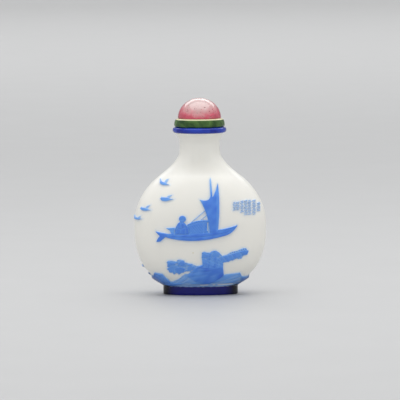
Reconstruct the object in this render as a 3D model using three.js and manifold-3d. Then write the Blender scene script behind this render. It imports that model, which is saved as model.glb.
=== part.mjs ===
// A flattened, round-bodied snuff bottle of cased glass: milk-white inside, with a blue overlay
// that is carved away to leave a boat, geese, rocks and pines standing on the white, and a blue
// lip and oval foot. A domed stopper with a collar sits on the lip, its cork in the neck.
// Millimetres, +Z up. The origin is the centre of the foot's underside, and the boat faces -Y.
import * as THREE from "three";
import { mergeVertices } from "three/addons/utils/BufferGeometryUtils.js";
import Module from "manifold-3d";

const wasm = await Module();
wasm.setup();

// ---- Driving dimensions -------------------------------------------------------------------

const belly = {
  z: 25.2, // the widest level
  halfWidth: 23.55,
  halfDepth: 13.5,
  below: 23, // from the widest level down to where the round form would close
  above: 22.3, // and up to where it would close, inside the neck
  frontFullness: { below: 2.6, above: 1.9 }, // superellipse powers: 2 is an ellipse,
  sideFullness: { below: 2.9, above: 2.1 }, // and more is fuller
};
const neck = { shoulderZ: 42.5, startZ: 51.5, flareZ: 53.8, radius: 7.2, flareRadius: 5.2 };
const lip = { bottom: 57.7, top: 59.7, radius: 9.6, round: 0.9, topFlat: 8.6 };
const foot = { top: 4.6, halfWidth: 13.3, halfDepth: 7.1, rim: 2.1, recess: 1.5, ease: 0.35 };
const bore = { radius: 3.9, below: 42 };
const chamber = { halfWidth: 20.6, halfDepth: 10.7, below: 20, above: 21, full: 2.4 };
const overlay = { low: 0.55, high: 0.9 }; // how far carving stands off the white ground
const collar = { radius: 9.05, seat: 8.4, topRadius: 8.1, height: 2.95, widestAt: 0.75 };
const dome = { radius: 7.75, height: 7.35 };
const cork = { topRadius: 3.6, bottomRadius: 3.35, length: 9.4 };

const around = 44; // segments round the bottle

// ---- From three.js geometry to solids and back ----------------------------------------------

function weld(geometry) {
  const bare = geometry.clone();
  bare.deleteAttribute("normal");
  bare.deleteAttribute("uv");
  return mergeVertices(bare, 1e-4);
}

function solidOf(geometry) {
  const welded = weld(geometry);
  const corners = welded.index.array;
  const kept = [];
  for (let i = 0; i < corners.length; i += 3) {
    const [a, b, c] = [corners[i], corners[i + 1], corners[i + 2]];
    if (a !== b && b !== c && c !== a) kept.push(a, b, c);
  }
  return new wasm.Manifold(
    new wasm.Mesh({
      numProp: 3,
      vertProperties: welded.attributes.position.array,
      triVerts: new Uint32Array(kept),
    }),
  );
}

function geometryOf(solid) {
  const mesh = solid.getMesh();
  const geometry = new THREE.BufferGeometry();
  geometry.setAttribute("position", new THREE.BufferAttribute(mesh.vertProperties, 3));
  geometry.setIndex(new THREE.BufferAttribute(mesh.triVerts, 1));
  geometry.computeVertexNormals();
  return geometry;
}

const unite = (solids) => wasm.Manifold.union(solids);

// ---- The bottle's form ----------------------------------------------------------------------

const fullness = (t, power) => Math.max(1 - t ** power, 0) ** (1 / power);

// Half the body's width at height z, seen from the front, or its depth seen from the side.
function bodyHalf(z, half, power) {
  if (z <= belly.z) return half * fullness((belly.z - z) / belly.below, power.below);
  return half * fullness((z - belly.z) / belly.above, power.above);
}

// The shoulder runs from the body into the upright neck on one smooth cubic.
function shoulderHalf(z, half, power) {
  const span = neck.startZ - neck.shoulderZ;
  const u = (z - neck.shoulderZ) / span;
  const step = 0.01;
  const start = bodyHalf(neck.shoulderZ, half, power);
  const slope = (start - bodyHalf(neck.shoulderZ - step, half, power)) / step;
  return (
    (1 - 3 * u * u + 2 * u ** 3) * start +
    (u - 2 * u * u + u ** 3) * span * slope +
    (3 * u * u - 2 * u ** 3) * neck.radius
  );
}

function neckRadius(z) {
  const rise = Math.max(z - neck.flareZ, 0);
  return neck.radius + neck.flareRadius - Math.sqrt(neck.flareRadius ** 2 - rise ** 2);
}

function halfAt(z, half, power) {
  if (z <= neck.shoulderZ) return bodyHalf(z, half, power);
  if (z <= neck.startZ) return shoulderHalf(z, half, power);
  return neckRadius(z);
}

const halfWidthAt = (z) => halfAt(z, belly.halfWidth, belly.frontFullness);
const halfDepthAt = (z) => halfAt(z, belly.halfDepth, belly.sideFullness);

// The levels of the rings, closer together where the form turns fastest.
function ringLevels() {
  const levels = [];
  const lower = 8;
  for (let i = 1; i <= lower; i++) {
    levels.push(belly.z - belly.below * Math.cos((i / lower) * (Math.PI / 2)) ** 0.9);
  }
  const upper = 8;
  const lastAngle = Math.asin((neck.shoulderZ - belly.z) / belly.above);
  for (let i = 1; i <= upper; i++) {
    levels.push(belly.z + belly.above * Math.sin((i / upper) * lastAngle));
  }
  const shoulder = 4;
  for (let i = 1; i <= shoulder; i++) {
    levels.push(neck.shoulderZ + (i / shoulder) * (neck.startZ - neck.shoulderZ));
  }
  const flare = 3;
  for (let i = 0; i <= flare; i++) {
    levels.push(neck.flareZ + (i / flare) * (lip.bottom + 0.1 - neck.flareZ));
  }
  return levels;
}

// A turned profile [radius, height], pressed front to back by depthRatio(height).
function turned(profile, segments, depthRatio = () => 1) {
  const points = profile.map(([r, z]) => new THREE.Vector2(r, z));
  const geometry = new THREE.LatheGeometry(points, segments).rotateX(Math.PI / 2);
  const position = geometry.attributes.position;
  for (let i = 0; i < position.count; i++) {
    position.setY(i, position.getY(i) * depthRatio(position.getZ(i)));
  }
  return geometry;
}

// The outside of the white glass, or that surface moved out by grow: the top of the carving.
function flask(grow = 0) {
  const levels = ringLevels();
  const profile = [[0, belly.z - belly.below], ...levels.map((z) => [halfWidthAt(z), z])];
  profile.push([0, levels.at(-1)]);
  const geometry = weld(turned(profile, around, (z) => halfDepthAt(z) / (halfWidthAt(z) || 1)));
  if (grow === 0) return solidOf(geometry);
  geometry.computeVertexNormals();
  const { position, normal } = geometry.attributes;
  for (let i = 0; i < position.count; i++) {
    position.setXYZ(
      i,
      position.getX(i) + normal.getX(i) * grow,
      position.getY(i) + normal.getY(i) * grow,
      position.getZ(i) + normal.getZ(i) * grow,
    );
  }
  return solidOf(geometry);
}

// An oval disc with its edges eased, for the foot.
function ovalDisc(halfWidth, halfDepth, bottom, top, ease) {
  const profile = [
    [0, bottom],
    [halfWidth - ease, bottom],
    [halfWidth, bottom + ease],
    [halfWidth, top],
    [0, top],
  ];
  return solidOf(turned(profile, around, () => halfDepth / halfWidth));
}

function footSolid() {
  const body = ovalDisc(foot.halfWidth, foot.halfDepth, 0, foot.top, foot.ease);
  const recess = ovalDisc(
    foot.halfWidth - foot.rim,
    foot.halfDepth - foot.rim,
    -1,
    foot.recess,
    foot.ease,
  );
  return body.subtract(recess);
}

// A rounded edge: points on a half turn between two levels, bulging out to radius.
function roundedEdge(radius, bulge, bottom, top, steps) {
  const middle = (bottom + top) / 2;
  const points = [];
  for (let i = 0; i <= steps; i++) {
    const angle = (i / steps - 0.5) * Math.PI;
    points.push([
      radius - bulge + bulge * Math.cos(angle),
      middle + ((top - bottom) / 2) * Math.sin(angle),
    ]);
  }
  return points;
}

function lipSolid() {
  const edge = roundedEdge(lip.radius, lip.round, lip.bottom, lip.top - 0.2, 6);
  const profile = [[0, lip.bottom], ...edge, [lip.topFlat, lip.top], [0, lip.top]];
  return solidOf(turned(profile, 40));
}

function hollow() {
  const rings = 10;
  const profile = [];
  for (let i = 0; i <= rings; i++) {
    const angle = (i / rings - 0.5) * Math.PI;
    const reach = angle < 0 ? chamber.below : chamber.above;
    const r = chamber.halfWidth * Math.cos(angle) ** (2 / chamber.full);
    const rise = Math.abs(Math.sin(angle)) ** (2 / chamber.full);
    profile.push([i === 0 || i === rings ? 0 : r, belly.z + Math.sign(angle) * reach * rise]);
  }
  const ratio = () => chamber.halfDepth / chamber.halfWidth;
  const throat = [
    [0, bore.below],
    [bore.radius, bore.below],
    [bore.radius, lip.top - 0.5],
    [bore.radius + 1, lip.top + 0.5],
    [0, lip.top + 0.5],
  ];
  return unite([solidOf(turned(profile, 32, ratio)), solidOf(turned(throat, 32))]);
}

// ---- Carving: outlines drawn on the front, in x and z ------------------------------------------

const curveSteps = 4;

// The side of the bottle that an outline is carved on, as the depths it is cut between.
const front = { from: -0.3, to: belly.halfDepth + 3, turn: 0 };
const back = { ...front, turn: Math.PI };
const leftSide = { from: 6, to: belly.halfWidth + 3, turn: -Math.PI / 2 };

// An outline given in x and z becomes a prism through the wall on that side.
function prism(shape, side) {
  const geometry = new THREE.ExtrudeGeometry(shape, {
    depth: side.to - side.from,
    bevelEnabled: false,
    curveSegments: curveSteps,
  });
  geometry.rotateX(Math.PI / 2).translate(0, -side.from, 0);
  return solidOf(geometry.rotateZ(side.turn));
}

function polygon(points) {
  return new THREE.Shape(points.map(([x, z]) => new THREE.Vector2(x, z)));
}

function disc(x, z, radius, squash = 1) {
  const shape = new THREE.Shape();
  shape.absellipse(x, z, radius, radius * squash, 0, Math.PI * 2, false);
  return shape;
}

// A stroke of even width from one point to another.
function stroke([x1, z1], [x2, z2], width) {
  const length = Math.hypot(x2 - x1, z2 - z1);
  const nx = ((z2 - z1) / length) * (width / 2);
  const nz = (-(x2 - x1) / length) * (width / 2);
  return polygon([
    [x1 - nx, z1 - nz],
    [x1 + nx, z1 + nz],
    [x2 + nx, z2 + nz],
    [x2 - nx, z2 - nz],
  ]);
}

function hull() {
  const shape = new THREE.Shape();
  shape.moveTo(-15.9, 23.3); // upper fluke of the stern sweep
  shape.quadraticCurveTo(-13.6, 22.9, -11.3, 22.5);
  shape.lineTo(-4, 23.1);
  shape.lineTo(6.6, 24);
  shape.quadraticCurveTo(10.2, 24.5, 13.1, 25.4); // the prow
  shape.quadraticCurveTo(11.6, 22.4, 8.9, 21.7);
  shape.quadraticCurveTo(1, 19.5, -6.5, 20.1);
  shape.quadraticCurveTo(-9.6, 20.4, -12.2, 21.2);
  shape.lineTo(-14.1, 19.6); // lower fluke
  shape.lineTo(-15.3, 19.5);
  shape.quadraticCurveTo(-15, 20.8, -14.1, 21.6);
  shape.lineTo(-15.9, 23.3);
  return shape;
}

function tiller() {
  return polygon([
    [-12.1, 24.4],
    [-10.6, 23.6],
    [-10, 22.5],
    [-8.6, 22.5],
    [-8.6, 24.9],
  ]);
}

function cabin() {
  const shape = new THREE.Shape();
  shape.moveTo(-4.6, 22.6);
  shape.lineTo(-4.6, 25.8);
  shape.quadraticCurveTo(-1.6, 27.9, 2.7, 27.3);
  shape.lineTo(2.5, 22.6);
  return shape;
}

function robe() {
  const shape = new THREE.Shape();
  shape.moveTo(-9.4, 22.4);
  shape.quadraticCurveTo(-9.3, 26, -6.9, 26.9);
  shape.quadraticCurveTo(-4.4, 26.6, -3.8, 22.4);
  return shape;
}

function sail() {
  const shape = new THREE.Shape();
  shape.moveTo(3.7, 42); // masthead
  shape.lineTo(3.3, 41.2);
  shape.lineTo(3.6, 36);
  shape.quadraticCurveTo(3.4, 33.4, -0.1, 34.5); // the luff's corner
  shape.quadraticCurveTo(3, 29, 3.3, 23);
  shape.lineTo(6.3, 23);
  shape.quadraticCurveTo(7.4, 33, 6.2, 40); // the peak
  shape.quadraticCurveTo(5.4, 37, 4.4, 35.4);
  shape.lineTo(4, 41.2);
  return shape;
}

const stays = [
  stroke([1.9, 30.6], [-3.2, 26.3], 0.34),
  stroke([2.9, 29.4], [0.2, 27.1], 0.34),
];

// A flying goose: a plump body drawn out to the neck ahead, a near wing lifted at its tail end and
// a far wing over its back. The wing tips are given in lengths of the bird.
function goose(x, z, length, pitch, nearTip, farTip) {
  const at = ([u, v]) => {
    const [c, s] = [Math.cos(pitch), Math.sin(pitch)];
    return [x + length * (c * u - s * v), z + length * (s * u + c * v)];
  };
  const body = [
    [-0.5, 0.02],
    [-0.3, 0.13],
    [0.02, 0.1],
    [0.5, 0.01],
    [0.1, -0.1],
    [-0.28, -0.14],
  ];
  const nearWing = [[-0.46, 0], [-0.16, 0.06], nearTip];
  const farWing = [[-0.04, 0.06], [0.16, 0.06], farTip];
  return [body, nearWing, farWing].map((outline) => polygon(outline.map(at)));
}

// A pine's clump of needles: a flat-bottomed fan with a toothed upper edge.
function needleFan(x, z, radius, tilt, teeth) {
  const points = [];
  for (let i = 0; i <= teeth * 2; i++) {
    const angle = tilt + Math.PI * (i / (teeth * 2));
    const reach = radius * (i % 2 ? 0.78 : 1);
    points.push([x + reach * Math.cos(angle), z + reach * Math.sin(angle)]);
  }
  return polygon(points);
}

// A branch: fans hung along a line, so that their teeth make a ragged lower edge.
function branch([x1, z1], [x2, z2], radius, fans) {
  const shapes = [stroke([x1, z1], [x2, z2], radius)];
  for (let i = 0; i < fans; i++) {
    const t = (i + 0.5) / fans;
    const droop = Math.PI * 1.03;
    shapes.push(needleFan(x1 + (x2 - x1) * t, z1 + (z2 - z1) * t, radius * 1.35, droop, 3));
  }
  return shapes;
}

// The left pine: a bough with two tufts on top and needles hanging at its end.
const leftPine = polygon([
  [-12, 11.8],
  [-11.5, 12.6],
  [-10.4, 12.8],
  [-8.6, 12.3],
  [-7.9, 13],
  [-6.9, 13.1],
  [-5.7, 12.7],
  [-5.1, 12],
  [-3.1, 11.7],
  [-1.3, 11],
  [0.6, 11.4],
  [0.4, 8.6],
  [-4.9, 9.1],
  [-6.6, 8.7],
  [-7.5, 7.9],
  [-8.4, 8.3],
  [-9.3, 7.8],
  [-9.9, 8.9],
  [-10.6, 9],
  [-11, 10],
  [-11.6, 10.4],
  [-11.2, 11.2],
]);

function rock() {
  return polygon([
    [-6.4, 4.4],
    [-4.9, 7.7],
    [-1.2, 10.8],
    [0.6, 11.6],
    [2.4, 12.4],
    [7.9, 11.2],
    [8.1, 9.6],
    [8.6, 4.4],
  ]);
}

const crag = polygon([
  [0.6, 10.5],
  [0.1, 14.2],
  [0.2, 15.7],
  [1.4, 15.9],
  [2.3, 15.4],
  [3.5, 15.5],
  [5.4, 16.3],
  [6.4, 15.6],
  [7.7, 14.3],
  [8, 13],
  [8, 10.5],
]);

// The branch that hangs out to the right, its needles in a ragged lower edge.
const rightBranch = polygon([
  [7.4, 14.4],
  [9.2, 14.8],
  [11.1, 15.7],
  [13, 15.9],
  [14.4, 16.5],
  [16.1, 16.6],
  [16.9, 15.4],
  [16.1, 14.2],
  [15.1, 14.3],
  [14.6, 13.4],
  [13.4, 13.1],
  [12.6, 13.4],
  [11.4, 12.6],
  [10.4, 13.1],
  [8.8, 12.6],
  [7.4, 12.6],
]);

// The shore: from the foot up to a broken line of banks, the same height at both sides of the
// bottle so that the front and the back join.
function shore(bank) {
  const sideHeight = 6.6;
  const reach = belly.halfWidth;
  return polygon([[-reach, 3.6], [reach, 3.6], [reach, sideHeight], ...bank, [-reach, sideHeight]]);
}

const frontShore = shore([
  [14.7, 6.8],
  [14, 8.3],
  [8, 7.8],
  [-5, 7],
  [-7.7, 5.8],
  [-9.6, 5],
  [-11, 5.4],
  [-12.4, 6.6],
  [-16.6, 8.3],
]);
const backShore = shore([
  [15.2, 7.6],
  [10.5, 7.2],
  [8.6, 5.6],
  [4.4, 5.2],
  [1.5, 6.3],
  [-3, 7],
  [-10, 8.6],
  [-15, 8],
]);

// The inscription's place: columns of short slanting strokes, which aren't writing.
function strokeRows() {
  const columns = [
    { x: 12.4, top: 33, rows: 3 },
    { x: 15.4, top: 33.4, rows: 5 },
    { x: 17.2, top: 33.5, rows: 5 },
    { x: 19, top: 33.3, rows: 5 },
    { x: 20.8, top: 32.2, rows: 3 },
  ];
  const pitch = 1.05;
  const [reach, rise, width] = [0.66, 0.3, 0.45];
  return columns.flatMap(({ x, top, rows }, column) =>
    Array.from({ length: rows }, (_, row) => {
      const z = top - row * pitch;
      const lean = (row + column) % 2 ? rise : -rise;
      return stroke([x - reach, z - lean], [x + reach, z + lean], width);
    }),
  );
}

// ---- The back, plainer: rocks, a pine, reeds and three geese -----------------------------------

const backRock = polygon([
  [-13.5, 4.4],
  [-12.4, 9],
  [-10.8, 12.6],
  [-8.9, 13.6],
  [-7.4, 11.2],
  [-4.8, 9.4],
  [-2.2, 4.4],
]);
const backPine = [
  stroke([-9.4, 12], [-5.6, 19.4], 1.3),
  ...branch([-8, 16.4], [-1.6, 17.4], 1.3, 4),
  ...branch([-10.6, 19.4], [-3.2, 20.6], 1.4, 4),
];
const reeds = [
  stroke([9, 6], [10.4, 14.6], 0.5),
  stroke([10, 6], [12.8, 12.6], 0.5),
  stroke([8.6, 6], [7.8, 12], 0.5),
];
const backGeese = [
  ...goose(9, 36, 4.2, -0.2, [-0.5, 0.45], [0.38, 0.45]),
  ...goose(4.6, 33.4, 4.2, -0.1, [-0.4, 0.3], [0.42, 0.36]),
  ...goose(12.6, 31.6, 3.8, -0.1, [-0.45, 0.4], [0.4, 0.42]),
];
// A low rock on the narrow left side, towards the back, with two thin ledges that reach forward.
// Here x runs along the depth.
const sideRock = polygon([
  [-10.4, 4.4],
  [-9.2, 9.6],
  [-7.2, 8.4],
  [-5.6, 11.2],
  [-4.2, 10.3],
  [-2.9, 10.7],
  [0, 10.8],
  [0.1, 10.1],
  [-2.7, 9.5],
  [-2.8, 8.3],
  [0.1, 7.9],
  [0.1, 7.3],
  [-2.7, 6.8],
  [-2.7, 4.4],
]);

// ---- Joining the bottle -------------------------------------------------------------------------

function carved(shapes, side, skin) {
  return unite(shapes.map((shape) => prism(shape, side))).intersect(skin);
}

function bottleSolid() {
  const lowSkin = flask(overlay.low);
  const highSkin = flask(overlay.high);
  const shallowSkin = flask(overlay.low * 0.6);
  const geese = [
    ...goose(-12.4, 39.8, 3.7, -0.2, [-0.52, 0.42], [0.3, 0.52]),
    ...goose(-11.6, 34.6, 4.9, 0, [-0.4, 0.2], [0.42, 0.32]),
    ...goose(-19.1, 30.8, 4, -0.08, [-0.4, 0.2], [0.38, 0.42]),
    ...goose(-21.8, 27.4, 3, 0, [-0.44, 0.42], [0.3, 0.34]),
  ];
  const outside = unite([
    flask(),
    footSolid(),
    lipSolid(),
    carved([hull(), sail(), rock(), disc(-6.2, 27.7, 1.3, 0.92), robe()], front, highSkin),
    carved([cabin(), tiller(), ...stays, ...geese], front, lowSkin),
    carved([leftPine, crag, rightBranch, frontShore], front, lowSkin),
    carved(strokeRows(), front, shallowSkin),
    carved([backRock], back, highSkin),
    carved([backShore, ...backPine, ...reeds, ...backGeese], back, lowSkin),
    carved([sideRock], leftSide, lowSkin),
  ]);
  return outside.subtract(hollow());
}

// ---- The stopper ------------------------------------------------------------------------------------

function collarSolid() {
  const base = lip.top;
  const steps = 5;
  const profile = [
    [0, base],
    [collar.seat, base],
  ];
  for (let i = 1; i <= steps; i++) {
    const angle = (i / steps) * (Math.PI / 2);
    const out = collar.radius - collar.seat;
    const z = base + collar.widestAt * (1 - Math.cos(angle));
    profile.push([collar.seat + out * Math.sin(angle), z]);
  }
  profile.push([collar.topRadius + 0.6, base + collar.height - 0.55]);
  profile.push([collar.topRadius + 0.3, base + collar.height - 0.12]);
  profile.push([collar.topRadius, base + collar.height]);
  profile.push([0, base + collar.height]);
  return turned(profile, 40);
}

function domeSolid() {
  const base = lip.top + collar.height;
  const rings = 8;
  const profile = [[0, base]];
  for (let i = 0; i <= rings; i++) {
    const angle = (i / rings) * (Math.PI / 2);
    profile.push([
      i === rings ? 0 : dome.radius * Math.cos(angle),
      base + dome.height * Math.sin(angle),
    ]);
  }
  return turned(profile, 36);
}

function corkSolid() {
  const bottom = lip.top - cork.length;
  const ease = 0.4;
  return turned(
    [
      [0, bottom],
      [cork.bottomRadius - ease, bottom],
      [cork.bottomRadius, bottom + ease],
      [cork.topRadius, lip.top],
      [0, lip.top],
    ],
    24,
  );
}

// ---- The parts and their materials -------------------------------------------------------------------

const finishes = {
  milkGlass: { color: 0xe9e7e1, roughness: 0.28, metalness: 0 },
  greenGlass: { color: 0x2f5a28, roughness: 0.18, metalness: 0 },
  pinkStone: { color: 0xc9707f, roughness: 0.12, metalness: 0 },
  cork: { color: 0xa57b52, roughness: 0.9, metalness: 0 },
};

function part(name, geometry, finish) {
  const mesh = new THREE.Mesh(geometry, new THREE.MeshStandardMaterial(finishes[finish]));
  mesh.name = name;
  return mesh;
}

const snuffBottle = new THREE.Group();
snuffBottle.add(
  part("bottle", geometryOf(bottleSolid()), "milkGlass"),
  part("stopper_collar", collarSolid(), "greenGlass"),
  part("stopper_dome", domeSolid(), "pinkStone"),
  part("stopper_cork", corkSolid(), "cork"),
);

export default snuffBottle;
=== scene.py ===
import math
import bmesh
import bpy
import numpy as np
from mathutils import Matrix, Vector, geometry


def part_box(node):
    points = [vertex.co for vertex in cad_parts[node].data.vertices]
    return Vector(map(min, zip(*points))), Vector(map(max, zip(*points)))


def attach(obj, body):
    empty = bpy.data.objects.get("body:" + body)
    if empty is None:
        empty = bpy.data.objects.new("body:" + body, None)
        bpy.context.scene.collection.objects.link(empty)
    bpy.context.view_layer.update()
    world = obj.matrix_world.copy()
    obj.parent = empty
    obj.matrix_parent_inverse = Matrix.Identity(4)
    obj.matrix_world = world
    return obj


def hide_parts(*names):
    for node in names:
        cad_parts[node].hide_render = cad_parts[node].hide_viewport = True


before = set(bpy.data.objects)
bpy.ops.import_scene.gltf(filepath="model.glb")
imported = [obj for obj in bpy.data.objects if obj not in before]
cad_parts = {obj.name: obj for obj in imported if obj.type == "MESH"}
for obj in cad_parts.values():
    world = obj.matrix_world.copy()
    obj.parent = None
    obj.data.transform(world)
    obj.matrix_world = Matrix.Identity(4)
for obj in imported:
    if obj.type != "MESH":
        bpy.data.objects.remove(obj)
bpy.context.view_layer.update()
mm = 0.001  # the shapes below are drawn in millimetres
print("frame loaded")


def sizeOf(node):
    # its bottom, its top and its reach to the right
    low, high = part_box(node)
    return np.array((low[2], high[2], high[0])) / mm


# the bottle's form, by the same curves as the solid's
bottle = {
    "bellyZ": 25.2,
    "halfWidth": 23.55,
    "halfDepth": 13.5,
    "below": 23.0,
    "above": 22.3,
    "frontFullness": (2.6, 1.9),  # powers below and above the belly
    "sideFullness": (2.9, 2.1),
    "shoulderZ": 42.5,
    "neckZ": 51.5,
    "neckRadius": 7.2,
    "flareZ": 53.8,
    "flareRadius": 5.2,
    "footHalfWidth": 13.3,
    "footHalfDepth": 7.1,
    "footBlend": 0.9,  # how softly the body runs into the foot
    "footTo": 15.0,  # above this level the body is clear of the foot
    "footTop": 3.1,  # the upper edge of the foot's dark glass
    "footEnds": 0.8,  # how much higher it is at the two ends
    "footLineWidth": 0.25,
    "rim": 2.1,
    "recess": 1.5,
    "recessRise": 0.05,  # how much higher its middle is
    "ease": 0.4,
    "lipZ": 57.7,
    "lipRadius": 9.6,
    "boreRadius": 3.9,
    "boreTo": 46.4,  # the straight bore ends here, and the chamber is never narrower above boreFrom
    "boreFrom": 40.0,
    "chamber": (20.6, 10.7, 20.0, 21.0, 2.4),  # half width, half depth, below, above, power
    "around": 160,
    "skinFrom": 3.0,  # the carved part of the skin lies between these levels
    "skinTo": 46.0,
    "skinFade": 0.5,  # the relief runs out over this length at the upper end
}


def fullness(t, power):
    return np.maximum(1 - np.abs(t) ** power, 0) ** (1 / power)


slopeStep = 0.01  # the step that slopes and normals are taken over


def bodyHalf(z, half, powers):
    below = half * fullness((bottle["bellyZ"] - z) / bottle["below"], powers[0])
    above = half * fullness((z - bottle["bellyZ"]) / bottle["above"], powers[1])
    return np.where(z <= bottle["bellyZ"], below, above)


def shoulderHalf(z, half, powers):
    low, high = bottle["shoulderZ"], bottle["neckZ"]
    start = bodyHalf(low, half, powers)
    slope = (start - bodyHalf(low - slopeStep, half, powers)) / slopeStep
    u = (z - low) / (high - low)
    leave = (1 - 3 * u**2 + 2 * u**3) * start + (u - 2 * u**2 + u**3) * (high - low) * slope
    return leave + (3 * u**2 - 2 * u**3) * bottle["neckRadius"]


def neckRadius(z):
    rise = np.minimum(np.maximum(z - bottle["flareZ"], 0), bottle["flareRadius"])
    return bottle["neckRadius"] + bottle["flareRadius"] - np.sqrt(bottle["flareRadius"] ** 2 - rise**2)


def softMax(a, b, width):
    overlap = np.maximum(width - np.abs(a - b), 0) / width
    return np.maximum(a, b) + overlap**2 * width / 4


def halfAt(z, half, powers, footHalf):
    z = np.asarray(z, float)
    body = softMax(bodyHalf(z, half, powers), footHalf, bottle["footBlend"])
    shoulder = shoulderHalf(z, half, powers)
    form = np.where(z < bottle["footTo"], body, bodyHalf(z, half, powers))
    form = np.where(z > bottle["shoulderZ"], shoulder, form)
    return np.where(z > bottle["neckZ"], neckRadius(z), form)


def halfWidthAt(z):
    return halfAt(z, bottle["halfWidth"], bottle["frontFullness"], bottle["footHalfWidth"])


def halfDepthAt(z):
    return halfAt(z, bottle["halfDepth"], bottle["sideFullness"], bottle["footHalfDepth"])


def skinPoint(angle, z):
    return np.stack([halfWidthAt(z) * np.cos(angle), halfDepthAt(z) * np.sin(angle), z], -1)


def skinNormal(angle, z):
    alongAngle = skinPoint(angle + slopeStep, z) - skinPoint(angle - slopeStep, z)
    alongZ = skinPoint(angle, z + slopeStep) - skinPoint(angle, z - slopeStep)
    normal = np.cross(alongAngle, alongZ)
    return normal / np.linalg.norm(normal, axis=-1, keepdims=True)


# the skin unrolled: across is the distance round the belly, up the distance along the side
tableSize = 2001
angleTable = np.linspace(0, 2 * math.pi, tableSize)
zTable = np.linspace(bottle["skinFrom"], bottle["skinTo"], tableSize)


def runningLength(points):
    steps = np.linalg.norm(np.diff(points, axis=0), axis=1)
    return np.concatenate([[0], np.cumsum(steps)])


acrossTable = runningLength(skinPoint(angleTable, np.full(tableSize, bottle["bellyZ"])))
sideTable = runningLength(skinPoint(np.zeros(tableSize), zTable))
frontTable = runningLength(skinPoint(np.full(tableSize, math.pi / 2), zTable))
upTable = (sideTable + frontTable) / 2
skinWidth, skinHeight = acrossTable[-1], upTable[-1]


def unroll(angle, z):
    across = np.interp(angle, angleTable, acrossTable)
    return np.stack([across, np.interp(z, zTable, upTable)], -1)


def rollBack(across, up):
    return np.interp(across, acrossTable, angleTable), np.interp(up, upTable, zTable)


# the carving is drawn as outlines in x and z, on the face that they are seen on
drawStep = 0.16  # spacing of the points along an outline


def spread(points, step):
    points = np.array(points, float)
    length = runningLength(points)
    count = max(int(round(length[-1] / step)), 2)
    along = np.linspace(0, length[-1], count + 1)
    return np.stack([np.interp(along, length, points[:, i]) for i in (0, 1)], -1)


def drawn(start, *moves, closed=True, step=drawStep):
    # a move of two numbers is a straight line, and of four a curve by way of the first pair
    pieces, at = [], np.array(start, float)
    for move in moves + ((tuple(start),) if closed else ()):
        end = np.array(move[-2:], float)
        if len(move) == 2:
            line = np.array([at, end])
        else:
            t = np.linspace(0, 1, 33)[:, None]
            line = (1 - t) ** 2 * at + 2 * t * (1 - t) * np.array(move[:2]) + t**2 * end
        if np.linalg.norm(end - at) > 1e-6:
            pieces.append(spread(line, step)[:-1])
        at = end
    if not closed:
        pieces.append(at[None])
    return np.concatenate(pieces)


def openLine(*moves):
    return drawn(*moves, closed=False)


def curves(*rows):
    # open lines, each a start, the point that it bends by way of, and its end
    return [openLine(row[:2], row[2:]) for row in rows]


def oval(x, z, halfX, halfZ):
    count = max(int(2 * math.pi * max(halfX, halfZ) / drawStep), 12)
    a = np.linspace(0, 2 * math.pi, count, endpoint=False)
    return np.stack([x + halfX * np.cos(a), z + halfZ * np.sin(a)], -1)


def partWay(start, end, t):
    return [a + (b - a) * t for a, b in zip(start, end)]


def stroke(start, end, width, taper=1.0):
    start, end = np.array(start, float), np.array(end, float)
    side = np.array([end[1] - start[1], start[0] - end[0]]) / np.linalg.norm(end - start) * width / 2
    return drawn(start - side, start + side, end + side * taper, end - side * taper)


def segmentDistance(points, starts, ends):
    best = np.full(len(points), 1e9)
    for a, b in zip(starts, ends):
        along = b - a
        t = np.clip(((points - a) @ along) / max(along @ along, 1e-9), 0, 1)
        best = np.minimum(best, np.linalg.norm(points - a - t[:, None] * along, axis=1))
    return best


def insideDepth(points, outline):
    # distance in from the outline, negative outside it
    starts, ends = outline, np.roll(outline, -1, axis=0)
    distance = segmentDistance(points, starts, ends)
    inside = np.zeros(len(points), bool)
    for (x1, y1), (x2, y2) in zip(starts, ends):
        if y1 != y2:
            crosses = (y1 > points[:, 1]) != (y2 > points[:, 1])
            inside ^= crosses & (points[:, 0] < (x2 - x1) * (points[:, 1] - y1) / (y2 - y1) + x1)
    return np.where(inside, distance, -distance)


def scored(lines, depth, width):
    # a tool's lines, cut that deep along each drawn line
    def cut(points):
        total = np.zeros(len(points))
        for line in lines:
            distance = segmentDistance(points, line[:-1], line[1:])
            total = np.minimum(total, -depth * np.exp(-((distance / width) ** 2)))
        return total

    return cut


def ruled(angle, pitch, depth, sharp=4.0):
    # parallel scored lines at that angle
    def cut(points):
        across = points[:, 1] * math.cos(angle) - points[:, 0] * math.sin(angle)
        wave = 0.5 + 0.5 * np.cos(2 * math.pi * across / pitch)
        return -depth * wave**sharp

    return cut


def rayed(x, z, rays, depth, sharp=3.0):
    # lines fanning out from a point, like pine needles
    def cut(points):
        angle = np.arctan2(points[:, 1] - z, points[:, 0] - x)
        wave = 0.5 + 0.5 * np.cos(angle * rays)
        return -depth * wave**sharp

    return cut


def thinning(start, end, depth):
    # the relief sinks by that depth from the first point to the second
    def cut(points):
        along = np.array(end) - np.array(start)
        t = np.clip((points - np.array(start)) @ along / (along @ along), 0, 1)
        return -depth * t

    return cut


def mottled(depth, scale):
    # a slow swell over the surface, where the glass was ground unevenly
    def cut(points):
        x, z = points[:, 0] * scale, points[:, 1] * scale
        slow = np.sin(1.9 * x + 1.1 * z) * np.cos(1.5 * z - 0.8 * x)
        return depth * (slow + 0.5 * np.sin(3.7 * x - 2.9 * z))

    return cut


def together(*cuts):
    return lambda points: sum(cut(points) for cut in cuts)


def onFront(points):
    reach = np.clip(points[:, 0] / halfWidthAt(points[:, 1]), -1, 1)
    return 2 * math.pi - np.arccos(reach), points[:, 1]


def onBack(points):
    # drawn as it is seen from behind, with x to the right there
    reach = np.clip(-points[:, 0] / halfWidthAt(points[:, 1]), -1, 1)
    return np.arccos(reach), points[:, 1]


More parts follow.
